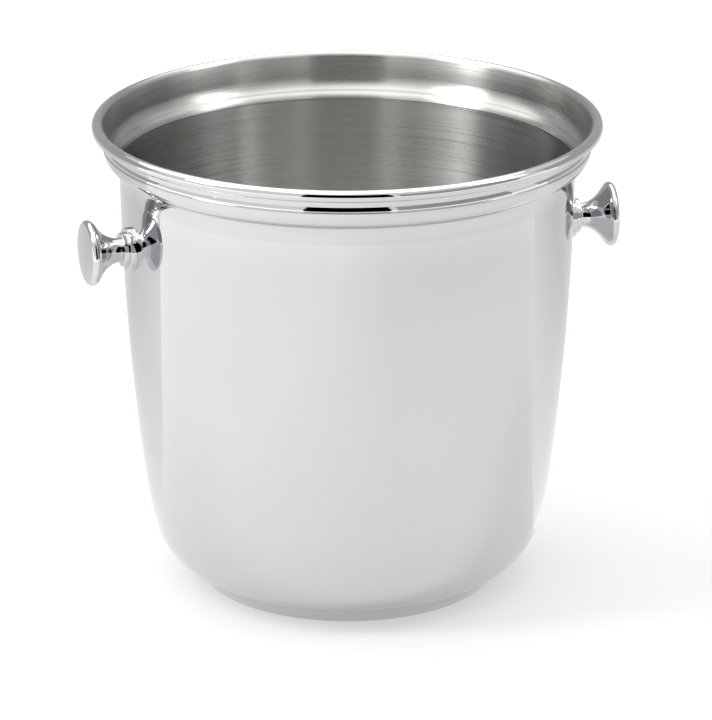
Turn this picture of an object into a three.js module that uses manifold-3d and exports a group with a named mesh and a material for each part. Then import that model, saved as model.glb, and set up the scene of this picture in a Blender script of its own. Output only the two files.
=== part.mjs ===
// A stainless steel champagne bucket: a drawn vessel with a rolled and moulded mouth, a foot ring
// soldered under it, and two mushroom knobs that are screwed on through the wall.
//
// Millimetres, +Z up. The origin is the centre of the foot's underside, and +X is the right-hand side.

import * as THREE from "three";
import { mergeVertices } from "three/addons/utils/BufferGeometryUtils.js";
import Module from "manifold-3d";

const wasm = await Module();
wasm.setup();

// ---------------------------------------------------------------- driving dimensions

const RIM_RADIUS = 110;
const HEIGHT = 207.8;
const SHEET = 1; // thickness of the drawn steel
const GAP = 0.3; // clearance between two pieces that touch
const SIDES = 48; // facets round the vessel; it divides by four, so the box is the true size

// The wall, from the flat bottom up, as arcs that run into each other. Each arc ends when the outline
// has turned to the given heading: 0 runs outwards, 90 runs straight up.
const BOTTOM_RADIUS = 59.5;
const BOTTOM_HEIGHT = 4.4;
const WALL_ARCS = [
  { radius: 26.5, heading: 75, steps: 6 },
  { radius: 155, heading: 82.9, steps: 2 },
  { radius: 1190, heading: 89.8, steps: 4 },
];

// The mouth: the wall flares and turns out in a fillet, then come a quarter round, a fine groove, a second
// round moulding, a narrow neck, and the sheet's edge curled outwards into a hollow bead. The flare and
// the fillet turn outwards, so their radii are negative.
const FLARE_HEIGHT = 181.25;
const FLARE_ARCS = [
  { radius: -20, heading: 70, steps: 3 },
  { radius: -3.39, heading: 20, steps: 3 },
];
const SHOULDER_ARCS = [
  { radius: 3.6, heading: 45, steps: 2 },
  { radius: 8.4, heading: 90, steps: 3 },
];
const GROOVE_DEPTH = 0.5;
const GROOVE_WIDTH = 0.9;
const MOULDING_RADIUS = 3.6;
const MOULDING_TURN = 28; // degrees that the second moulding turns before the neck
const RIM_NECK_RADIUS = 0.5; // the hollow between the second moulding and the bead, on the outside
const RIM_NECK_SHEET = 0.7; // the steel is drawn thinner there, so that the inside stays plain
const BEAD_RADIUS = 2.55;
const CURL_END = -125; // where the curled edge stops, in degrees round the bead

// The foot ring: a flat flange to stand on, and a flared side that reaches up to the vessel.
const FOOT_INNER_RADIUS = 60.5;
const FOOT_OUTER_RADIUS = 65;
const FOOT_TOP_RADIUS = 72;
const FOOT_EDGE = 0.4; // the rounding at the flange's outer edge
const FOOT_BULGE = 0.25; // how far the side swells out of a straight line

// The knobs stand a little forward of the vessel's diameter, one on each side.
const KNOB_HEIGHT = 158.5;
const KNOB_LEAN = 5.3; // degrees forward of the diameter
const KNOB_LENGTH = 21.3; // from the wall to the crown of the head
const KNOB_SIDES = 28;
const HEAD_RADIUS = 14.1;
const HEAD_EDGE_RADIUS = 2;
const HEAD_CROWN = 1.1; // how far the domed face rises inside its rounded edge
const NECK_RADIUS = 5.15;

// The stepped collar between the knob and the wall.
const COLLAR_RADIUS = 9.4;
const COLLAR_BASE = 2.4;
const COLLAR_STEP_RADIUS = 7.4;
const COLLAR_LENGTH = 4.6;
const COLLAR_EDGE = 0.5;

// The fixings inside: M5, with a gasket against the wall.
const SCREW_RADIUS = 2.4;
const SCREW_REACH = 13.5; // how far past the wall's outside the screw ends
const SCREW_HEAD_RADIUS = 4.75;
const SCREW_HEAD_HEIGHT = 2.8;
const SOCKET_RADIUS = 1.75; // corner radius of the hexagon socket
const SOCKET_DEPTH = 1.6;
const HOLE_RADIUS = 2.8;
const TAPPED_RADIUS = 2.75;
const TAPPED_CLEARANCE = 1.2; // depth of the tapped hole past the screw's end
const GASKET_RADIUS = 7;
const GASKET_THICKNESS = 1.2;
const WASHER_RADIUS = 6;
const WASHER_THICKNESS = 1;
const LOCK_WASHER_RADIUS = 4.6;
const LOCK_WASHER_THICKNESS = 1.1;
const LOCK_WASHER_SPLIT = 14; // degrees left open
const FIXING_SIDES = 24;

// ---------------------------------------------------------------- materials

const steel = (color, roughness) => new THREE.MeshStandardMaterial({ color, roughness, metalness: 1 });
const polished = () => steel(0xdcdfe1, 0.06);
const satin = () => steel(0xb9bbbb, 0.3);
const rubber = () => new THREE.MeshStandardMaterial({ color: 0x2a2a2c, roughness: 0.8, metalness: 0 });

// ---------------------------------------------------------------- outlines, as [radius, height] pairs

const radians = THREE.MathUtils.degToRad;

/** Points round a circle from one angle to another, both in degrees, the first point included. */
function arcPoints([x, y], radius, from, to, steps) {
  const points = [];
  for (let i = 0; i <= steps; i++) {
    const angle = radians(from + ((to - from) * i) / steps);
    points.push([x + radius * Math.cos(angle), y + radius * Math.sin(angle)]);
  }
  return points;
}

/**
 * Arcs that run into each other from a heading: to the left, or to the right where the radius is negative.
 * inset moves the whole run to its left.
 */
function arcRun([x, y], heading, arcs, inset = 0) {
  const points = [];
  for (const arc of arcs) {
    const centre = [
      x - arc.radius * Math.sin(radians(heading)),
      y + arc.radius * Math.cos(radians(heading)),
    ];
    const run = arcPoints(centre, arc.radius - inset, heading - 90, arc.heading - 90, arc.steps);
    points.push(...(points.length ? run.slice(1) : run));
    x = centre[0] + arc.radius * Math.sin(radians(arc.heading));
    y = centre[1] - arc.radius * Math.cos(radians(arc.heading));
    heading = arc.heading;
  }
  return points;
}

/** The radius of an outline that rises all the way, at one height. */
function radiusAt(outline, height) {
  const i = outline.findIndex((point) => point[1] >= height);
  const [[r0, z0], [r1, z1]] = [outline[i - 1], outline[i]];
  return r0 + ((r1 - r0) * (height - z0)) / (z1 - z0);
}

const beadCentre = [RIM_RADIUS - BEAD_RADIUS, HEIGHT - BEAD_RADIUS];
const hollowRadius = BEAD_RADIUS - SHEET;

/** The heading of the straight run that leaves the neck's fillet and meets the bead's hollow. */
function neckHeading([x, y]) {
  const [across, up] = [beadCentre[0] - x, beadCentre[1] - y];
  const turn = Math.asin((hollowRadius - RIM_NECK_RADIUS) / Math.hypot(across, up));
  return THREE.MathUtils.radToDeg(Math.atan2(up, across) + turn);
}

/** One side of the sheet from the bottom to the shoulder: inset 0 is its outside, SHEET its inside. */
function sheetSide(inset) {
  const wall = arcRun([BOTTOM_RADIUS, BOTTOM_HEIGHT], 0, WALL_ARCS, inset);
  const flareStart = [wall.at(-1)[0] + inset, FLARE_HEIGHT];
  return [...wall, ...arcRun(flareStart, 90, [...FLARE_ARCS, ...SHOULDER_ARCS], inset)];
}

/** The groove, the second moulding and the neck, which are on the outside only, above the shoulder. */
function mouldingOutline([shoulderRadius, shoulderTop]) {
  const groove = [shoulderRadius - GROOVE_DEPTH, shoulderTop + GROOVE_WIDTH / 2];

  const mouldingCentre = [shoulderRadius - MOULDING_RADIUS, shoulderTop + GROOVE_WIDTH];
  const moulding = arcPoints(mouldingCentre, MOULDING_RADIUS, 0, MOULDING_TURN, 3);

  const neckReach = MOULDING_RADIUS + RIM_NECK_RADIUS;
  const neckCentre = arcPoints(mouldingCentre, neckReach, 0, MOULDING_TURN, 1)[1];
  const curlStart = neckHeading(neckCentre) + 90;
  const neck = arcPoints(neckCentre, RIM_NECK_RADIUS, 180 + MOULDING_TURN, curlStart, 2);
  return { points: [groove, ...moulding, ...neck.slice(1)], curlStart };
}

const outside = sheetSide(0);
const inside = sheetSide(SHEET);

/** The vessel's closed section: up its outside, round the curled bead, and down its inside. */
function shellOutline() {
  const { points: mouldings, curlStart } = mouldingOutline(outside.at(-1));
  const [neckRadius, neckHeight] = mouldings.at(-1);
  const hollow = arcPoints(beadCentre, hollowRadius, curlStart, CURL_END, 7);
  // Through the bead's widest and highest points, so that the facets keep the true size.
  const bead = (from, to, steps) => arcPoints(beadCentre, BEAD_RADIUS, from, to, steps);
  const curl = [...bead(CURL_END, 0, 4), ...bead(0, 90, 3).slice(1), ...bead(90, curlStart, 3).slice(1)];
  return [
    [0, BOTTOM_HEIGHT],
    ...outside,
    ...mouldings,
    ...hollow,
    ...curl,
    [neckRadius - RIM_NECK_SHEET, neckHeight],
    ...inside.toReversed(),
    [0, BOTTOM_HEIGHT + SHEET],
  ];
}

/** The foot ring's closed section. Its top edge follows the vessel's rounded bottom, a gap below it. */
function footOutline() {
  const corner = WALL_ARCS[0].radius;
  const underVessel = (radius) =>
    BOTTOM_HEIGHT + corner - Math.sqrt((corner + GAP) ** 2 - (radius - BOTTOM_RADIUS) ** 2);

  const low = new THREE.Vector2(FOOT_OUTER_RADIUS + FOOT_EDGE, FOOT_EDGE);
  const high = new THREE.Vector2(FOOT_TOP_RADIUS, underVessel(FOOT_TOP_RADIUS));
  const along = high.clone().sub(low).normalize();
  const outwards = new THREE.Vector2(along.y, -along.x);
  const middle = low.clone().lerp(high, 0.5).addScaledVector(outwards, FOOT_BULGE);

  const innerTopRadius = FOOT_TOP_RADIUS - SHEET / along.y;
  const innerLow = low.clone().addScaledVector(outwards, -SHEET);
  return [
    [FOOT_INNER_RADIUS, 0],
    [FOOT_OUTER_RADIUS, 0],
    low.toArray(),
    middle.toArray(),
    high.toArray(),
    [innerTopRadius, underVessel(innerTopRadius)],
    innerLow.toArray(),
    [innerLow.x - FOOT_EDGE, SHEET],
    [FOOT_INNER_RADIUS, SHEET],
    [FOOT_INNER_RADIUS, 0],
  ];
}

/** The knob's section along its axis, measured from the wall: tapped hole, flare, rounded edge, dome. */
function knobOutline() {
  const edgeCentre = [HEAD_RADIUS - HEAD_EDGE_RADIUS, KNOB_LENGTH - HEAD_CROWN - HEAD_EDGE_RADIUS];
  const neckEnd = COLLAR_LENGTH + GAP;
  const backOfHead = edgeCentre[1] - HEAD_EDGE_RADIUS;

  const flare = new THREE.CubicBezierCurve(
    new THREE.Vector2(NECK_RADIUS, neckEnd),
    new THREE.Vector2(NECK_RADIUS, neckEnd + 5.5),
    new THREE.Vector2(HEAD_RADIUS * 0.6, backOfHead - 3),
    new THREE.Vector2(edgeCentre[0] + 1.2, backOfHead + 0.2),
  );
  const edge = arcPoints(edgeCentre, HEAD_EDGE_RADIUS, -45, 75, 6);
  const [domeRadius, domeStart] = edge.at(-1);
  const dome = new THREE.QuadraticBezierCurve(
    new THREE.Vector2(domeRadius, domeStart),
    new THREE.Vector2(domeRadius * 0.55, KNOB_LENGTH),
    new THREE.Vector2(0, KNOB_LENGTH),
  );
  const holeEnd = SCREW_REACH + TAPPED_CLEARANCE;
  return [
    [0, holeEnd],
    [TAPPED_RADIUS, holeEnd],
    [TAPPED_RADIUS, neckEnd],
    ...flare.getPoints(7).map((point) => point.toArray()),
    ...edge,
    ...dome.getPoints(4).slice(1).map((point) => point.toArray()),
  ];
}

/** The stepped collar's section, started behind the wall's surface so that the wall can trim it. */
function collarOutline() {
  const behindWall = -2;
  return [
    [HOLE_RADIUS, behindWall],
    [COLLAR_RADIUS, behindWall],
    ...arcPoints([COLLAR_RADIUS - COLLAR_EDGE, COLLAR_BASE - COLLAR_EDGE], COLLAR_EDGE, 0, 90, 2),
    [COLLAR_STEP_RADIUS, COLLAR_BASE],
    ...arcPoints([COLLAR_STEP_RADIUS - COLLAR_EDGE, COLLAR_LENGTH - COLLAR_EDGE], COLLAR_EDGE, 0, 90, 2),
    [HOLE_RADIUS, COLLAR_LENGTH],
    [HOLE_RADIUS, behindWall],
  ];
}

// ---------------------------------------------------------------- solids

/** A closed outline turned round the Z axis. */
function turned(outline, sides) {
  const points = outline.map(([radius, height]) => new THREE.Vector2(radius, height));
  return new THREE.LatheGeometry(points, sides).rotateX(Math.PI / 2);
}

/** The same, turned round the X axis, for the pieces that lie along a knob's axis. */
function turnedAlongX(outline, sides) {
  return turned(outline, sides).rotateY(Math.PI / 2);
}

/** A washer's or a ring's section. */
function ringOutline(innerRadius, outerRadius, from, to) {
  return [
    [innerRadius, from],
    [outerRadius, from],
    [outerRadius, to],
    [innerRadius, to],
    [innerRadius, from],
  ];
}

/** A mesh geometry as a solid that can be joined or cut. */
function toSolid(geometry) {
  const bare = geometry.clone();
  bare.deleteAttribute("normal");
  bare.deleteAttribute("uv");
  const merged = mergeVertices(bare);
  const corners = merged.index.array;
  const kept = [];
  for (let i = 0; i < corners.length; i += 3) {
    const [a, b, c] = corners.slice(i, i + 3);
    if (a !== b && b !== c && c !== a) kept.push(a, b, c);
  }
  const mesh = new wasm.Mesh({
    numProp: 3,
    vertProperties: new Float32Array(merged.attributes.position.array),
    triVerts: new Uint32Array(kept),
  });
  return new wasm.Manifold(mesh);
}

/** A solid back as a mesh geometry. */
function toGeometry(solid) {
  const mesh = solid.getMesh();
  const geometry = new THREE.BufferGeometry();
  geometry.setAttribute("position", new THREE.BufferAttribute(mesh.vertProperties, 3));
  geometry.setIndex(new THREE.BufferAttribute(mesh.triVerts, 1));
  geometry.computeVertexNormals();
  return geometry;
}

/** A round bar along X, placed by its two ends. */
function bar(radius, from, to, sides = FIXING_SIDES) {
  return new THREE.CylinderGeometry(radius, radius, to - from, sides)
    .rotateZ(-Math.PI / 2)
    .translate((from + to) / 2, 0, 0);
}

/** An upright round column about the vessel's axis, which stands for the wall beside a knob. */
function wallColumn(radius, heightAboveKnob = 0) {
  const columnSides = 180;
  return new THREE.CylinderGeometry(radius, radius, 60, columnSides)
    .rotateX(Math.PI / 2)
    .translate(0, 0, heightAboveKnob);
}

// ---------------------------------------------------------------- the knobs' places

const knobPlaces = [
  { name: "left", azimuth: 180 + KNOB_LEAN },
  { name: "right", azimuth: -KNOB_LEAN },
];
const wallRadius = radiusAt(outside, KNOB_HEIGHT);
const innerWallRadius = wallRadius - SHEET;
// How far the middle of a facet lies inside the true round wall.
const facetDepth = innerWallRadius * (1 - Math.cos(Math.PI / SIDES));

// Where each fixing starts and ends along the knob's axis, from the wall inwards.
const gasketOut = innerWallRadius - facetDepth - GAP;
const gasketIn = gasketOut - GASKET_THICKNESS;
const washerIn = gasketIn - GAP - WASHER_THICKNESS;
const lockWasherIn = washerIn - GAP - LOCK_WASHER_THICKNESS;
const headUnderside = lockWasherIn - GAP;

function makeShell() {
  let shell = toSolid(turned(shellOutline(), SIDES));
  for (const place of knobPlaces) {
    const drill = bar(HOLE_RADIUS, innerWallRadius - 5, wallRadius + 5)
      .rotateZ(radians(place.azimuth))
      .translate(0, 0, KNOB_HEIGHT);
    shell = shell.subtract(toSolid(drill));
  }
  return toGeometry(shell);
}

function makeKnob() {
  return turnedAlongX(knobOutline(), KNOB_SIDES).translate(wallRadius, 0, 0);
}

function makeCollar() {
  const collar = toSolid(turnedAlongX(collarOutline(), KNOB_SIDES).translate(wallRadius, 0, 0));
  return toGeometry(collar.subtract(toSolid(wallColumn(wallRadius + GAP))));
}

function makeGasket() {
  const ring = turnedAlongX(ringOutline(HOLE_RADIUS, GASKET_RADIUS, gasketIn, wallRadius), FIXING_SIDES);
  return toGeometry(toSolid(ring).intersect(toSolid(wallColumn(gasketOut))));
}

function makeWasher() {
  const outline = ringOutline(HOLE_RADIUS, WASHER_RADIUS, washerIn, washerIn + WASHER_THICKNESS);
  return turnedAlongX(outline, FIXING_SIDES);
}

function makeLockWasher() {
  const half = radians(LOCK_WASHER_SPLIT / 2);
  const ring = new THREE.Shape();
  ring.absarc(0, 0, LOCK_WASHER_RADIUS, half, 2 * Math.PI - half, false);
  ring.absarc(0, 0, HOLE_RADIUS, 2 * Math.PI - half, half, true);
  ring.closePath();
  const options = { depth: LOCK_WASHER_THICKNESS, bevelEnabled: false, curveSegments: FIXING_SIDES };
  return new THREE.ExtrudeGeometry(ring, options).rotateY(Math.PI / 2).translate(lockWasherIn, 0, 0);
}

function makeScrew() {
  const crown = headUnderside - SCREW_HEAD_HEIGHT;
  const head = new THREE.QuadraticBezierCurve(
    new THREE.Vector2(SCREW_HEAD_RADIUS * 0.5, crown),
    new THREE.Vector2(SCREW_HEAD_RADIUS * 0.95, crown),
    new THREE.Vector2(SCREW_HEAD_RADIUS, headUnderside - 0.5),
  );
  const outline = [
    [0, crown],
    ...head.getPoints(4).map((point) => point.toArray()),
    [SCREW_HEAD_RADIUS, headUnderside],
    [SCREW_RADIUS, headUnderside],
    [SCREW_RADIUS, wallRadius + SCREW_REACH - 0.6],
    [SCREW_RADIUS - 0.6, wallRadius + SCREW_REACH],
    [0, wallRadius + SCREW_REACH],
  ];
  const screw = toSolid(turnedAlongX(outline, FIXING_SIDES));
  const hexagon = 6;
  const socket = toSolid(bar(SOCKET_RADIUS, crown - 1, crown + SOCKET_DEPTH, hexagon));
  return toGeometry(screw.subtract(socket));
}

// ---------------------------------------------------------------- assembly

function named(name, geometry, material) {
  const mesh = new THREE.Mesh(geometry, material);
  mesh.name = name;
  return mesh;
}

const bucket = new THREE.Group();
bucket.add(named("bucket_shell", makeShell(), polished()));
bucket.add(named("foot_ring", turned(footOutline(), SIDES), polished()));

for (const place of knobPlaces) {
  const knob = new THREE.Group();
  knob.position.z = KNOB_HEIGHT;
  knob.rotation.z = radians(place.azimuth);
  knob.add(named(`${place.name}_knob`, makeKnob(), polished()));
  knob.add(named(`${place.name}_collar`, makeCollar(), polished()));
  knob.add(named(`${place.name}_gasket`, makeGasket(), rubber()));
  knob.add(named(`${place.name}_washer`, makeWasher(), satin()));
  knob.add(named(`${place.name}_lock_washer`, makeLockWasher(), satin()));
  knob.add(named(`${place.name}_screw`, makeScrew(), satin()));
  bucket.add(knob);
}

export default bucket;
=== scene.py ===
import math

import bmesh
import bpy
from mathutils import Matrix, Vector


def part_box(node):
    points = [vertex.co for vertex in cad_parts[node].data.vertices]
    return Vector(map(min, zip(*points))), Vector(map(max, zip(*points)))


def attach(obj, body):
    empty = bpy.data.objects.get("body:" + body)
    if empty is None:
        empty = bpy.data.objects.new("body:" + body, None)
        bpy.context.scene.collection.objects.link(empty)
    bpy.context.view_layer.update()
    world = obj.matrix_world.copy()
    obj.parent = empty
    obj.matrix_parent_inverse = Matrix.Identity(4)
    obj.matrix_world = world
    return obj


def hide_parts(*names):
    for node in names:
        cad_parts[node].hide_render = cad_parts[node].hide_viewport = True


# The looks of a stainless steel champagne bucket: a mirror-polished vessel with a rolled mouth, brushed
# inside, on a foot ring, with a mushroom knob screwed on at each side. Every piece is a finely turned
# mesh that stands for the CAD node of the same shape.

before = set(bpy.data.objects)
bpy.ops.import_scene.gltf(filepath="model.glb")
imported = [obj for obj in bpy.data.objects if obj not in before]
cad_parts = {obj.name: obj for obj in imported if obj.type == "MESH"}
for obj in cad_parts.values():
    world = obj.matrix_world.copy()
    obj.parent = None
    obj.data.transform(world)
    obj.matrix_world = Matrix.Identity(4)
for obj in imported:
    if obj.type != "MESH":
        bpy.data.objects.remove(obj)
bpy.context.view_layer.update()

MM = 0.001

# ---------------------------------------------------------------- dimensions, in millimetres

RIM_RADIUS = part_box("bucket_shell")[1].x / MM
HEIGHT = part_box("bucket_shell")[1].z / MM
SHEET = 1.0
TOUCH = 0.05  # the hairline left between two pieces that touch

# The wall as arcs that run into each other: (radius, heading at its end in degrees).
BOTTOM_RADIUS = 59.5
BOTTOM_HEIGHT = 4.4
CORNER_RADIUS = 26.5
WALL_ARCS = [(CORNER_RADIUS, 75), (155, 82.9), (1190, 89.8)]

# The mouth: flare and fillet (they turn outwards, so their radii are negative), quarter round, groove,
# second moulding, neck and curled bead.
FLARE_HEIGHT = 181.25
FLARE_ARCS = [(-20, 70), (-3.39, 20)]
SHOULDER_ARCS = [(3.6, 45), (8.4, 90)]
GROOVE_DEPTH = 0.5
GROOVE_WIDTH = 0.9
MOULDING_RADIUS = 3.6
MOULDING_TURN = 28
RIM_NECK_RADIUS = 0.5
RIM_NECK_SHEET = 0.7
BEAD_RADIUS = 2.55
CURL_END = -125
BRUSHED_FROM = 108  # where the brushed finish starts, in degrees round the bead

FOOT_INNER_RADIUS = 60.5
FOOT_OUTER_RADIUS = 65
FOOT_TOP_RADIUS = 72
FOOT_EDGE = 0.4
FOOT_BULGE = 0.25

KNOB_HEIGHT = 158.5
KNOB_LEAN = 5.3
KNOB_LENGTH = 21.3
HEAD_RADIUS = 14.1
HEAD_EDGE_RADIUS = 2
HEAD_CROWN = 1.1
NECK_RADIUS = 5.15

COLLAR_RADIUS = 9.4
COLLAR_BASE = 2.4
COLLAR_STEP_RADIUS = 7.4
COLLAR_LENGTH = 4.6
COLLAR_EDGE = 0.5

SCREW_RADIUS = 2.4
SCREW_REACH = 13.5
SCREW_TIP_EDGE = 0.6
SCREW_HEAD_RADIUS = 4.75
SCREW_HEAD_HEIGHT = 2.8
SOCKET_RADIUS = 1.75
SOCKET_DEPTH = 1.6
HOLE_RADIUS = 2.8
TAPPED_RADIUS = 2.75
TAPPED_CLEARANCE = 1.2
GASKET_RADIUS = 7
GASKET_THICKNESS = 1.2
WASHER_RADIUS = 6
WASHER_THICKNESS = 1
WASHER_EDGE = 0.15
LOCK_WASHER_RADIUS = 4.6
LOCK_WASHER_THICKNESS = 1.1
LOCK_WASHER_SPLIT = 14

# The CAD's clearances, which say where its fixings lie.
CAD_GAP = 0.3
CAD_WALL_ALLOWANCE = 0.2  # between the round wall and the CAD's flat facets

# How finely the surfaces are made.
ARC_STEP = 6  # degrees between two points of an outline's arc, at most
ARC_LENGTH = 6  # millimetres between them, at most
VESSEL_SIDES = 240
KNOB_SIDES = 96
FIXING_SIDES = 48
SHARP_ANGLE = 35  # degrees between two faces from which their edge stays sharp
DRILL_OVERSHOOT = 5  # how far the screw holes' cutter reaches past the sheet
SOCKET_OVERSHOOT = 1  # how far the sockets' cutter reaches past the screws' crowns
ON_AXIS = 1e-6  # a smaller radius is a point on the axis
SAME_LEVEL = 1e-3  # two heights closer than this are one

# ---------------------------------------------------------------- outlines, as (radius, height) pairs


def arc(centre, radius, start, end):
    """Points round a circle between two angles in degrees, close enough together to look smooth."""
    turn = abs(end - start)
    steps = max(2, math.ceil(turn / ARC_STEP), math.ceil(math.radians(turn) * abs(radius) / ARC_LENGTH))
    angles = [math.radians(start + (end - start) * i / steps) for i in range(steps + 1)]
    return [(centre[0] + radius * math.cos(a), centre[1] + radius * math.sin(a)) for a in angles]


def arc_run(start, heading, arcs, inset):
    """Arcs that run into each other from a heading: to the left, or to the right where the radius is
    negative. inset moves the run to its left."""
    x, y = start
    points = []
    for radius, end_heading in arcs:
        centre = (
            x - radius * math.sin(math.radians(heading)),
            y + radius * math.cos(math.radians(heading)),
        )
        run = arc(centre, radius - inset, heading - 90, end_heading - 90)
        points += run[1:] if points else run
        heading = end_heading
        x = centre[0] + radius * math.sin(math.radians(heading))
        y = centre[1] - radius * math.cos(math.radians(heading))
    return points


def bezier(controls, steps):
    """Points along a Bezier curve of any degree."""
    points = []
    for i in range(steps + 1):
        t = i / steps
        row = [Vector(c) for c in controls]
        while len(row) > 1:
            row = [a.lerp(b, t) for a, b in zip(row, row[1:])]
        points.append(tuple(row[0]))
    return points


def radius_at(outline, height):
    """The radius of an outline that rises all the way, at one height."""
    for (r0, z0), (r1, z1) in zip(outline, outline[1:]):
        if z1 >= height > z0:
            return r0 + (r1 - r0) * (height - z0) / (z1 - z0)
    return outline[-1][0]


bead_centre = Vector((RIM_RADIUS - BEAD_RADIUS, HEIGHT - BEAD_RADIUS))
hollow_radius = BEAD_RADIUS - SHEET


def curl_start_angle(neck_centre):
    """Where the straight run that leaves the neck's fillet meets the bead, in degrees round the bead."""
    across = bead_centre - Vector(neck_centre)
    turn = math.asin((hollow_radius - RIM_NECK_RADIUS) / across.length)
    return math.degrees(math.atan2(across.y, across.x) + turn) + 90


def groove_points(low):
    """A fine rounded groove from a point straight up by its width, without its two ends."""
    steps = 8
    points = []
    for i in range(1, steps):
        along = i / steps
        depth = GROOVE_DEPTH * math.sin(math.pi * along)
        points.append((low[0] - depth, low[1] + GROOVE_WIDTH * along))
    return points


def sheet_side(inset):
    """The sheet from the bottom's edge to the shoulder: inset 0 is its outside, SHEET its inside."""
    wall = arc_run((BOTTOM_RADIUS, BOTTOM_HEIGHT), 0, WALL_ARCS, inset)
    flare_start = (wall[-1][0] + inset, FLARE_HEIGHT)
    return wall + arc_run(flare_start, 90, FLARE_ARCS + SHOULDER_ARCS, inset)


def moulding_outline(shoulder_end):
    """The groove, second moulding and neck above the shoulder, and the angle where the bead starts."""
    groove = groove_points(shoulder_end)
    moulding_centre = (shoulder_end[0] - MOULDING_RADIUS, shoulder_end[1] + GROOVE_WIDTH)
    moulding = arc(moulding_centre, MOULDING_RADIUS, 0, MOULDING_TURN)

    neck_reach = MOULDING_RADIUS + RIM_NECK_RADIUS
    neck_centre = arc(moulding_centre, neck_reach, 0, MOULDING_TURN)[-1]
    curl_start = curl_start_angle(neck_centre)
    neck = arc(neck_centre, RIM_NECK_RADIUS, 180 + MOULDING_TURN, curl_start)
    return groove + moulding + neck[1:], curl_start


def foot_outline():
    """The foot ring's closed section. Its top edge follows the vessel's rounded bottom."""

    def under_vessel(radius):
        reach = CORNER_RADIUS + TOUCH
        return BOTTOM_HEIGHT + CORNER_RADIUS - math.sqrt(reach**2 - (radius - BOTTOM_RADIUS) ** 2)

    edge = arc((FOOT_OUTER_RADIUS, FOOT_EDGE), FOOT_EDGE, -90, 0)
    low = Vector(edge[-1])
    high = Vector((FOOT_TOP_RADIUS, under_vessel(FOOT_TOP_RADIUS)))
    along = (high - low).normalized()
    outwards = Vector((along.y, -along.x))
    # A curve with one middle control passes halfway to it, so the control stands out twice the bulge.
    middle = low.lerp(high, 0.5) + outwards * FOOT_BULGE * 2
    side = bezier([low, middle, high], 8)

    inner_top_radius = FOOT_TOP_RADIUS - SHEET / along.y
    inner_top = (inner_top_radius, under_vessel(inner_top_radius))
    inner_low = low - outwards * SHEET
    return [
        (FOOT_INNER_RADIUS, 0),
        *edge,
        *side[1:],
        inner_top,
        tuple(inner_low),
        (inner_low.x - FOOT_EDGE, SHEET),
        (FOOT_INNER_RADIUS, SHEET),
        (FOOT_INNER_RADIUS, 0),
    ]


def knob_outline():
    """The knob's section along its axis, measured from the wall."""
    edge_centre = (HEAD_RADIUS - HEAD_EDGE_RADIUS, KNOB_LENGTH - HEAD_CROWN - HEAD_EDGE_RADIUS)
    neck_end = COLLAR_LENGTH + TOUCH
    back_of_head = edge_centre[1] - HEAD_EDGE_RADIUS
    # The neck leaves the collar straight, and opens out to run into the head's rounded edge.
    flare = bezier(
        [
            (NECK_RADIUS, neck_end),
            (NECK_RADIUS, neck_end + 5.5),
            (HEAD_RADIUS * 0.6, back_of_head - 3),
            (edge_centre[0] + 1.2, back_of_head + 0.2),
        ],
        28,
    )
    edge = arc(edge_centre, HEAD_EDGE_RADIUS, -45, 75)
    dome = bezier([edge[-1], (edge[-1][0] * 0.55, KNOB_LENGTH), (0, KNOB_LENGTH)], 16)
    hole_end = SCREW_REACH + TAPPED_CLEARANCE
    return [
        (0, hole_end),
        (TAPPED_RADIUS, hole_end),
        (TAPPED_RADIUS, neck_end),
        *flare,
        *edge,
        *dome[1:],
    ]


def collar_outline():
    """The stepped collar's section. Its flat base is bent to the wall afterwards."""
    base_edge = arc((COLLAR_RADIUS - COLLAR_EDGE, COLLAR_BASE - COLLAR_EDGE), COLLAR_EDGE, 0, 90)
    step_edge = arc((COLLAR_STEP_RADIUS - COLLAR_EDGE, COLLAR_LENGTH - COLLAR_EDGE), COLLAR_EDGE, 0, 90)
    return [
        (HOLE_RADIUS, 0),
        (COLLAR_RADIUS, 0),
        *base_edge,
        (COLLAR_STEP_RADIUS, COLLAR_BASE),
        *step_edge,
        (HOLE_RADIUS, COLLAR_LENGTH),
        (HOLE_RADIUS, 0),
    ]


def ring_outline(inner, outer, start, end):
    """A washer's section, with its outer edges just broken."""
    return [
        (inner, start),
        *arc((outer - WASHER_EDGE, start + WASHER_EDGE), WASHER_EDGE, -90, 0),
        *arc((outer - WASHER_EDGE, end - WASHER_EDGE), WASHER_EDGE, 0, 90),
        (inner, end),
        (inner, start),
    ]


# ---------------------------------------------------------------- meshes


def turned(name, outline, sides, start=0.0, turn=360.0, finishes=None):
    """A closed outline turned round the Z axis. finishes gives each stretch's material number."""
    whole = turn >= 360
    closed = outline[0] == outline[-1]
    rows = outline[:-1] if closed else outline
    columns = sides if whole else sides + 1
    bm = bmesh.new()
    rings = []
    for radius, height in rows:
        if radius < ON_AXIS:
            rings.append([bm.verts.new((0, 0, height * MM))] * columns)
            continue
        ring = []
        for i in range(columns):
            angle = math.radians(start + turn * i / sides)
            x = radius * MM * math.cos(angle)
            y = radius * MM * math.sin(angle)
            ring.append(bm.verts.new((x, y, height * MM)))
        rings.append(ring)
    pairs = list(zip(rings, rings[1:] + (rings[:1] if closed else [])))
    for number, (low, high) in enumerate(pairs):
        for i in range(sides):
            j = (i + 1) % columns
            corners = list(dict.fromkeys([low[i], low[j], high[j], high[i]]))
            if len(corners) > 2:
                face = bm.faces.new(corners)
                face.material_index = finishes[number] if finishes else 0
    if not whole:
        bm.faces.new([ring[0] for ring in reversed(rings)])
        bm.faces.new([ring[-1] for ring in rings])
    bmesh.ops.recalc_face_normals(bm, faces=bm.faces)
    return finished(name, bm)


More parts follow.
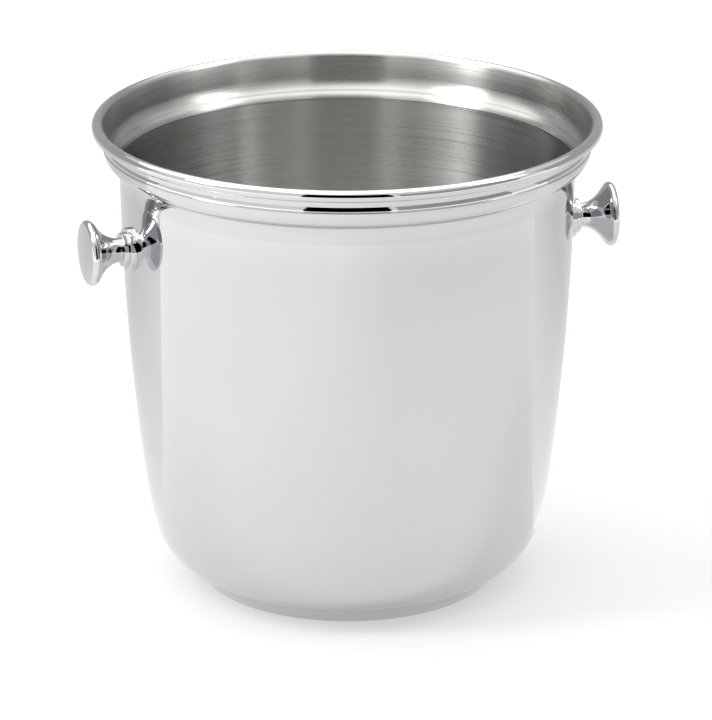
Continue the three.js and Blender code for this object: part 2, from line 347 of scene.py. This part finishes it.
def finished(name, bm):
    """A smooth-shaded object from a bmesh, with its true corners left sharp."""
    mesh = bpy.data.meshes.new(name)
    bm.to_mesh(mesh)
    bm.free()
    mesh.shade_smooth()
    mesh.set_sharp_from_angle(angle=math.radians(SHARP_ANGLE))
    piece = bpy.data.objects.new(name, mesh)
    bpy.context.scene.collection.objects.link(piece)
    return piece


def bar_mesh(radius, low, high, sides):
    """A closed round or hexagonal bar along Z, for cutting."""
    return turned("cutter", [(0, low), (radius, low), (radius, high), (0, high)], sides)


def cut(piece, cutter):
    """Cuts one mesh out of another for good."""
    modifier = piece.modifiers.new("cut", "BOOLEAN")
    modifier.operation = "DIFFERENCE"
    modifier.solver = "EXACT"
    modifier.object = cutter
    evaluated = piece.evaluated_get(bpy.context.evaluated_depsgraph_get())
    mesh = bpy.data.meshes.new_from_object(evaluated)
    piece.modifiers.clear()
    piece.data = mesh
    mesh.set_sharp_from_angle(angle=math.radians(SHARP_ANGLE))
    bpy.data.objects.remove(cutter)


def along_knob(azimuth, distance=0.0):
    """Turns a mesh made along Z to lie along a knob's axis, at a distance from the vessel's axis."""
    return (
        Matrix.Translation((0, 0, KNOB_HEIGHT * MM))
        @ Matrix.Rotation(math.radians(azimuth), 4, "Z")
        @ Matrix.Rotation(math.radians(90), 4, "Y")
        @ Matrix.Translation((0, 0, distance * MM))
    )


def lay_on_wall(piece, level, inset, gap):
    """Bends the face at one level of a piece that still lies along Z to the wall's curve."""
    for vertex in piece.data.vertices:
        if abs(vertex.co.z / MM - level) < SAME_LEVEL:
            radius = radius_at(outside_of_sheet, KNOB_HEIGHT - vertex.co.x / MM) - inset
            depth = math.sqrt(radius**2 - (vertex.co.y / MM) ** 2) - wall_radius
            vertex.co.z = (depth + gap) * MM


def tie_to_cad(piece, node, slot, *materials):
    """Gives a piece its materials and ties it to the CAD node that it stands for."""
    numbers = [face.material_index for face in piece.data.polygons]
    piece.data.materials.clear()
    for material in materials:
        piece.data.materials.append(material)
    piece.data.polygons.foreach_set("material_index", numbers)
    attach(piece, "root")
    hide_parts(node)


# ---------------------------------------------------------------- materials


class Finish:
    """A material's node tree, with short ways to add what the finishes below are made of."""

    def __init__(self, name):
        self.material = bpy.data.materials.new(name)
        self.material.use_nodes = True
        self.nodes = self.material.node_tree.nodes
        self.shader = self.nodes["Principled BSDF"]
        self.position = self.add("ShaderNodeTexCoord").outputs["Object"]

    def add(self, kind, **settings):
        node = self.nodes.new(kind)
        for key, value in settings.items():
            setattr(node, key, value)
        return node

    def link(self, output, node_input):
        self.material.node_tree.links.new(output, node_input)

    def total(self, first, second):
        """The sum of two values."""
        node = self.add("ShaderNodeMath", operation="ADD")
        self.link(first, node.inputs[0])
        self.link(second, node.inputs[1])
        return node.outputs[0]

    def scaled(self, vector, scale):
        """A vector with its three parts each multiplied by a number."""
        node = self.add("ShaderNodeVectorMath", operation="MULTIPLY")
        self.link(vector, node.inputs[0])
        node.inputs[1].default_value = scale
        return node.outputs["Vector"]

    def length(self, vector):
        node = self.add("ShaderNodeVectorMath", operation="LENGTH")
        self.link(vector, node.inputs[0])
        return node.outputs["Value"]

    def towards(self, azimuth):
        """How far a point lies from the vessel's axis in the direction of an azimuth."""
        node = self.add("ShaderNodeVectorMath", operation="DOT_PRODUCT")
        self.link(self.position, node.inputs[0])
        node.inputs[1].default_value = around(azimuth, 1, 0)
        return node.outputs["Value"]

    def stretched(self, across, along, with_radius=False):
        """The position, stretched so that a noise on it runs level round the vessel in fine lines.
        with_radius adds the radius to the height, which makes rings of the lines on the flat bottom."""
        parts = self.add("ShaderNodeSeparateXYZ")
        self.link(self.position, parts.inputs[0])
        level = parts.outputs["Z"]
        if with_radius:
            level = self.total(self.length(self.scaled(self.position, (1, 1, 0))), level)
        placed = self.add("ShaderNodeCombineXYZ")
        self.link(parts.outputs["X"], placed.inputs["X"])
        self.link(parts.outputs["Y"], placed.inputs["Y"])
        self.link(level, placed.inputs["Z"])
        return self.scaled(placed.outputs[0], (across, across, along))

    def noise(self, scale, detail=2.0, vector=None):
        node = self.add("ShaderNodeTexNoise")
        self.link(vector or self.position, node.inputs["Vector"])
        node.inputs["Scale"].default_value = scale
        node.inputs["Detail"].default_value = detail
        return node.outputs["Fac"]

    def between(self, value, low, high, start=0.3, end=0.7):
        """A value's range from start to end brought to the range from low to high. A noise mostly keeps
        between 0.3 and 0.7."""
        node = self.add("ShaderNodeMapRange")
        self.link(value, node.inputs["Value"])
        for name, number in (("From Min", start), ("From Max", end), ("To Min", low), ("To Max", high)):
            node.inputs[name].default_value = number
        return node.outputs["Result"]

    def colours(self, value, first, second):
        node = self.add("ShaderNodeMix", data_type="RGBA")
        self.link(value, node.inputs["Factor"])
        node.inputs["A"].default_value = (*first, 1)
        node.inputs["B"].default_value = (*second, 1)
        self.link(node.outputs["Result"], self.shader.inputs["Base Color"])

    def bump(self, height, strength, distance):
        node = self.add("ShaderNodeBump")
        self.link(height, node.inputs["Height"])
        node.inputs["Strength"].default_value = strength
        node.inputs["Distance"].default_value = distance
        self.link(node.outputs["Normal"], self.shader.inputs["Normal"])


def polished_steel():
    """Mirror-polished steel: faint haze where it was buffed and handled, and a trace of hair lines."""
    finish = Finish("polished_steel")
    finish.shader.inputs["Metallic"].default_value = 1
    finish.colours(finish.between(finish.noise(9), 0, 1), (0.585, 0.594, 0.604), (0.61, 0.617, 0.627))
    finish.link(finish.between(finish.noise(26, 4), 0.03, 0.06), finish.shader.inputs["Roughness"])
    lines = finish.noise(1, 3, finish.stretched(25, 1800))
    finish.bump(lines, 0.02, 0.00002)
    return finish.material


def brushed_steel():
    """The inside, brushed round: level hair lines that smear what it mirrors up and down."""
    finish = Finish("brushed_steel")
    shader = finish.shader
    shader.inputs["Metallic"].default_value = 1
    shader.inputs["Anisotropic"].default_value = 1
    shader.inputs["Anisotropic Rotation"].default_value = 0.25
    tangent = finish.add("ShaderNodeTangent", direction_type="RADIAL", axis="Z")
    finish.link(tangent.outputs["Tangent"], shader.inputs["Tangent"])
    lines = finish.noise(1, 3, finish.stretched(9, 2600, with_radius=True))
    bands = finish.noise(1, 2, finish.stretched(45, 0))
    band_shades = finish.between(bands, 0, 0.5)
    line_shades = finish.between(lines, 0, 0.5, start=0.35, end=0.65)
    shades = finish.total(band_shades, line_shades)
    finish.colours(shades, (0.47, 0.465, 0.455), (0.575, 0.564, 0.547))
    finish.link(finish.between(lines, 0.26, 0.31), shader.inputs["Roughness"])
    finish.bump(lines, 0.1, 0.00003)
    return finish.material


def satin_steel():
    """The fixings' plain turned steel."""
    finish = Finish("satin_steel")
    finish.shader.inputs["Metallic"].default_value = 1
    grain = finish.noise(1400, 4)
    finish.colours(finish.between(finish.noise(300), 0, 1), (0.50, 0.50, 0.49), (0.60, 0.60, 0.59))
    finish.link(finish.between(grain, 0.26, 0.4), finish.shader.inputs["Roughness"])
    finish.bump(grain, 0.1, 0.00003)
    return finish.material


def gasket_rubber():
    """Black rubber with a dry, slightly pitted face."""
    finish = Finish("gasket_rubber")
    grain = finish.noise(2500, 5)
    finish.colours(finish.between(finish.noise(400), 0, 1), (0.018, 0.018, 0.019), (0.03, 0.03, 0.032))
    finish.link(finish.between(grain, 0.65, 0.85), finish.shader.inputs["Roughness"])
    finish.bump(grain, 0.3, 0.00008)
    return finish.material


polished = polished_steel()
brushed = brushed_steel()
satin = satin_steel()
rubber = gasket_rubber()

# ---------------------------------------------------------------- the vessel and its foot

knob_azimuths = {"left": 180 + KNOB_LEAN, "right": -KNOB_LEAN}
outside_of_sheet = sheet_side(0)
wall_radius = radius_at(outside_of_sheet, KNOB_HEIGHT)


def make_vessel():
    """The drawn sheet as one closed skin: polished outside and over the bead, brushed inside."""
    mouldings, curl_start = moulding_outline(outside_of_sheet[-1])
    hollow = arc(bead_centre, hollow_radius, curl_start, CURL_END)
    bead = arc(bead_centre, BEAD_RADIUS, CURL_END, 0) + arc(bead_centre, BEAD_RADIUS, 0, BRUSHED_FROM)[1:]
    bead_inside = arc(bead_centre, BEAD_RADIUS, BRUSHED_FROM, curl_start)[1:]
    neck_inside = (mouldings[-1][0] - RIM_NECK_SHEET, mouldings[-1][1])

    outside = [(0, BOTTOM_HEIGHT), *outside_of_sheet, *mouldings, *hollow, *bead]
    inside = [*bead_inside, neck_inside, *reversed(sheet_side(SHEET)), (0, BOTTOM_HEIGHT + SHEET)]
    numbers = [0] * (len(outside) - 1) + [1] * len(inside)
    vessel = turned("vessel", outside + inside, VESSEL_SIDES, finishes=numbers)
    for azimuth in knob_azimuths.values():
        drill = bar_mesh(HOLE_RADIUS, -SHEET - DRILL_OVERSHOOT, DRILL_OVERSHOOT, FIXING_SIDES)
        drill.data.transform(along_knob(azimuth, wall_radius))
        cut(vessel, drill)
    tie_to_cad(vessel, "bucket_shell", "polished_steel", polished, brushed)


def make_foot():
    foot = turned("foot", foot_outline(), VESSEL_SIDES)
    tie_to_cad(foot, "foot_ring", "polished_steel", polished)


make_vessel()
make_foot()

# ---------------------------------------------------------------- the knobs and their fixings

# Where each fixing's inner face lies along the knob's axis, measured from the wall's outside.
gasket_in = -SHEET - CAD_WALL_ALLOWANCE - CAD_GAP - GASKET_THICKNESS
washer_in = gasket_in - CAD_GAP - WASHER_THICKNESS
lock_washer_in = washer_in - CAD_GAP - LOCK_WASHER_THICKNESS
head_underside = lock_washer_in - TOUCH


def make_collar():
    collar = turned("collar", collar_outline(), KNOB_SIDES)
    lay_on_wall(collar, 0, 0, TOUCH)
    return collar


def make_gasket():
    gasket = turned("gasket", ring_outline(HOLE_RADIUS, GASKET_RADIUS, gasket_in, 0), FIXING_SIDES)
    for level in {round(v.co.z / MM, 4) for v in gasket.data.vertices if v.co.z > gasket_in / 2 * MM}:
        lay_on_wall(gasket, level, SHEET, level - TOUCH)
    return gasket


def make_lock_washer():
    outline = ring_outline(HOLE_RADIUS, LOCK_WASHER_RADIUS, lock_washer_in, washer_in - TOUCH)
    turn = 360 - LOCK_WASHER_SPLIT
    return turned("lock_washer", outline, FIXING_SIDES, LOCK_WASHER_SPLIT / 2, turn)


def make_screw():
    crown = head_underside - SCREW_HEAD_HEIGHT
    head = bezier(
        [
            (SCREW_HEAD_RADIUS * 0.5, crown),
            (SCREW_HEAD_RADIUS * 0.95, crown),
            (SCREW_HEAD_RADIUS, head_underside - 0.5),
        ],
        12,
    )
    outline = [
        (0, crown),
        *head,
        (SCREW_HEAD_RADIUS, head_underside),
        (SCREW_RADIUS, head_underside),
        (SCREW_RADIUS, SCREW_REACH - SCREW_TIP_EDGE),
        (SCREW_RADIUS - SCREW_TIP_EDGE, SCREW_REACH),
        (0, SCREW_REACH),
    ]
    screw = turned("screw", outline, FIXING_SIDES)
    hexagon = 6
    cut(screw, bar_mesh(SOCKET_RADIUS, crown - SOCKET_OVERSHOOT, crown + SOCKET_DEPTH, hexagon))
    return screw


def make_knob_set(side, azimuth):
    washer_outline = ring_outline(HOLE_RADIUS, WASHER_RADIUS, washer_in, gasket_in - TOUCH)
    pieces = [
        ("knob", "polished_steel", polished, turned("knob", knob_outline(), KNOB_SIDES)),
        ("collar", "polished_steel", polished, make_collar()),
        ("gasket", "gasket_rubber", rubber, make_gasket()),
        ("washer", "satin_steel", satin, turned("washer", washer_outline, FIXING_SIDES)),
        ("lock_washer", "satin_steel", satin, make_lock_washer()),
        ("screw", "satin_steel", satin, make_screw()),
    ]
    for kind, slot, material, piece in pieces:
        piece.data.transform(along_knob(azimuth, wall_radius))
        piece.name = piece.data.name = f"{kind}_{side}"
        tie_to_cad(piece, f"{side}_{kind}", slot, material)


for side, azimuth in knob_azimuths.items():
    make_knob_set(side, azimuth)

# ---------------------------------------------------------------- the studio

CAMERA_AZIMUTH = -13.8  # degrees round the vessel; 0 looks along +Y
CAMERA_DISTANCE = 1.6544  # level distance from the vessel's axis
CAMERA_HEIGHT = 0.6889
CAMERA_PITCH = 19.699
CAMERA_YAW = -0.129
LENS = 200  # millimetres, on a 36 mm sensor

FLOOR_HALF = 4.0
LIT_POINT = Vector((0, 0, 0.1))  # where the lights are turned to
CARD_STEP = 10  # degrees between two folds of a bent card, at most
# Beyond the table's front edge the mirrors see a painted dark reflection of the room.
TABLE_EDGE = 1.26  # the table's front edge, beyond which the room is dark
GREY_REFLECTION_DISTANCE = 1.5
PALE_REFLECTION_DISTANCE = 1.9


def around(azimuth, distance, height):
    """A place in the studio: azimuth 0 is in front, and 90 on the vessel's right."""
    angle = math.radians(azimuth)
    return Vector((math.sin(angle) * distance, -math.cos(angle) * distance, height))


def make_camera():
    camera = bpy.data.objects.new("camera", bpy.data.cameras.new("camera"))
    bpy.context.scene.collection.objects.link(camera)
    camera.data.lens = LENS
    camera.location = around(CAMERA_AZIMUTH, CAMERA_DISTANCE, CAMERA_HEIGHT)
    turn = CAMERA_AZIMUTH + CAMERA_YAW
    camera.rotation_euler = (math.radians(90 - CAMERA_PITCH), 0, math.radians(turn))
    bpy.context.scene.camera = camera


def soft_light(name, location, width, height, power):
    light = bpy.data.lights.new(name, "AREA")
    light.shape = "RECTANGLE"
    light.size = width
    light.size_y = height
    light.energy = power
    lamp = bpy.data.objects.new(name, light)
    bpy.context.scene.collection.objects.link(lamp)
    lamp.location = location
    lamp.rotation_euler = (LIT_POINT - location).to_track_quat("-Z", "Y").to_euler()


def plain_panel(name, corners, faces, finish):
    """A thin panel that belongs to the studio."""
    mesh = bpy.data.meshes.new(name)
    mesh.from_pydata(corners, [], faces)
    mesh.materials.append(finish.material)
    panel = bpy.data.objects.new(name, mesh)
    bpy.context.scene.collection.objects.link(panel)
    return panel


def glowing(name, grey, glow=0.0):
    """A plain matt grey, which may also give off its own light."""
    finish = Finish(name)
    shader = finish.shader
    shader.inputs["Base Color"].default_value = (grey, grey, grey, 1)
    shader.inputs["Roughness"].default_value = 1
    shader.inputs["Specular IOR Level"].default_value = 0
    shader.inputs["Emission Color"].default_value = (1, 1, 1, 1)
    shader.inputs["Emission Strength"].default_value = glow
    return finish


def reflected_card(name, start, end, near, far, finish):
    """A card bent round the table, which only mirrors see. It reaches between two angles, in degrees from
    the camera's azimuth, and between two edges, each a distance and a height."""
    steps = math.ceil((end - start) / CARD_STEP)
    angles = [CAMERA_AZIMUTH + start + (end - start) * i / steps for i in range(steps + 1)]
    corners = [around(angle, *edge) for angle in angles for edge in (near, far)]
    faces = [(2 * i, 2 * i + 2, 2 * i + 3, 2 * i + 1) for i in range(steps)]
    card = plain_panel(name, corners, faces, finish)
    card.visible_camera = False
    card.visible_diffuse = False
    card.visible_shadow = False


def floor_with_painted_glow():
    """The pale floor, with a painted glow that stands in for light: a little more close to the vessel,
    where it lifts the shade round the foot, more again far from it, and more to the left and behind, as
    the camera sees it."""
    floor = glowing("floor", 0.36)
    distance = floor.length(floor.position)
    to_left = floor.towards(CAMERA_AZIMUTH - 70)
    to_back = floor.towards(CAMERA_AZIMUTH + 180)
    # Painted light: the floor's own glow stands in for lamplight and lifts the shade near the vessel.
    glow = floor.between(distance, 0.46, 0.39, start=0.15, end=0.5)
    glow = floor.total(glow, floor.between(distance, 0, 0.65, start=0.55, end=1.2))
    glow = floor.total(glow, floor.between(to_left, 0, 0.12, start=0, end=0.25))
    glow = floor.total(glow, floor.between(to_back, 0, 0.14, start=0, end=0.25))
    floor.link(glow, floor.shader.inputs["Emission Strength"])
    return floor


def painted_table_reflection():
    """A painted reflection of the table for the vessel's sides: a glowing card that fades from white to
    pale grey behind the vessel.
    """
    table = glowing("painted_table_reflection", 0)
    glow = table.between(table.towards(CAMERA_AZIMUTH + 180), 1.15, 0.82, start=0, end=0.25)
    table.link(glow, table.shader.inputs["Emission Strength"])
    return table


def make_studio():
    world = bpy.data.worlds.new("studio")
    world.use_nodes = True
    background = world.node_tree.nodes["Background"]
    background.inputs["Color"].default_value = (1, 1, 1, 1)
    background.inputs["Strength"].default_value = 0.95
    bpy.context.scene.world = world
    bpy.context.scene.view_settings.view_transform = "Standard"

    end = FLOOR_HALF
    corners = [(-end, -end, 0), (end, -end, 0), (end, end, 0), (-end, end, 0)]
    # The floor gives off painted light of its own.
    plain_panel("floor", corners, [(0, 1, 2, 3)], floor_with_painted_glow())

    # Painted reflections, on cards that only mirrors see: the unlit room beyond the table's front edge,
    # shown black, a grey wall to the right of it and a pale one behind, both glowing, and the table's
    # back half, which rises a little to clear the floor.
    dark = glowing("dark_room_reflection", 0)
    grey = glowing("grey_wall_reflection", 0, 0.42)
    pale = glowing("pale_wall_reflection", 0, 0.5)
    reflected_card("dark_room_reflection", -19, 19, (TABLE_EDGE, 0), (TABLE_EDGE, 1.25), dark)
    reflected_card("grey_wall_reflection", 22, 78, (GREY_REFLECTION_DISTANCE, 0), (GREY_REFLECTION_DISTANCE, 1.0), grey)
    reflected_card("pale_wall_reflection", 95, 265, (PALE_REFLECTION_DISTANCE, 0.1), (PALE_REFLECTION_DISTANCE, 1.4), pale)
    reflected_card("table_back_reflection", 100, 260, (0.1, 0.002), (PALE_REFLECTION_DISTANCE, 0.1), painted_table_reflection())

    on_left = around(CAMERA_AZIMUTH - 70, 1.2, 1.2)
    on_right = around(CAMERA_AZIMUTH + 84, 1.4, 1.45)
    soft_light("overhead", Vector((-0.1, 0.3, 1.7)), width=2.6, height=2.6, power=30)
    soft_light("left_strip", on_left, width=0.36, height=0.9, power=14)
    soft_light("right_strip", on_right, width=0.45, height=0.8, power=6)


make_camera()
make_studio()
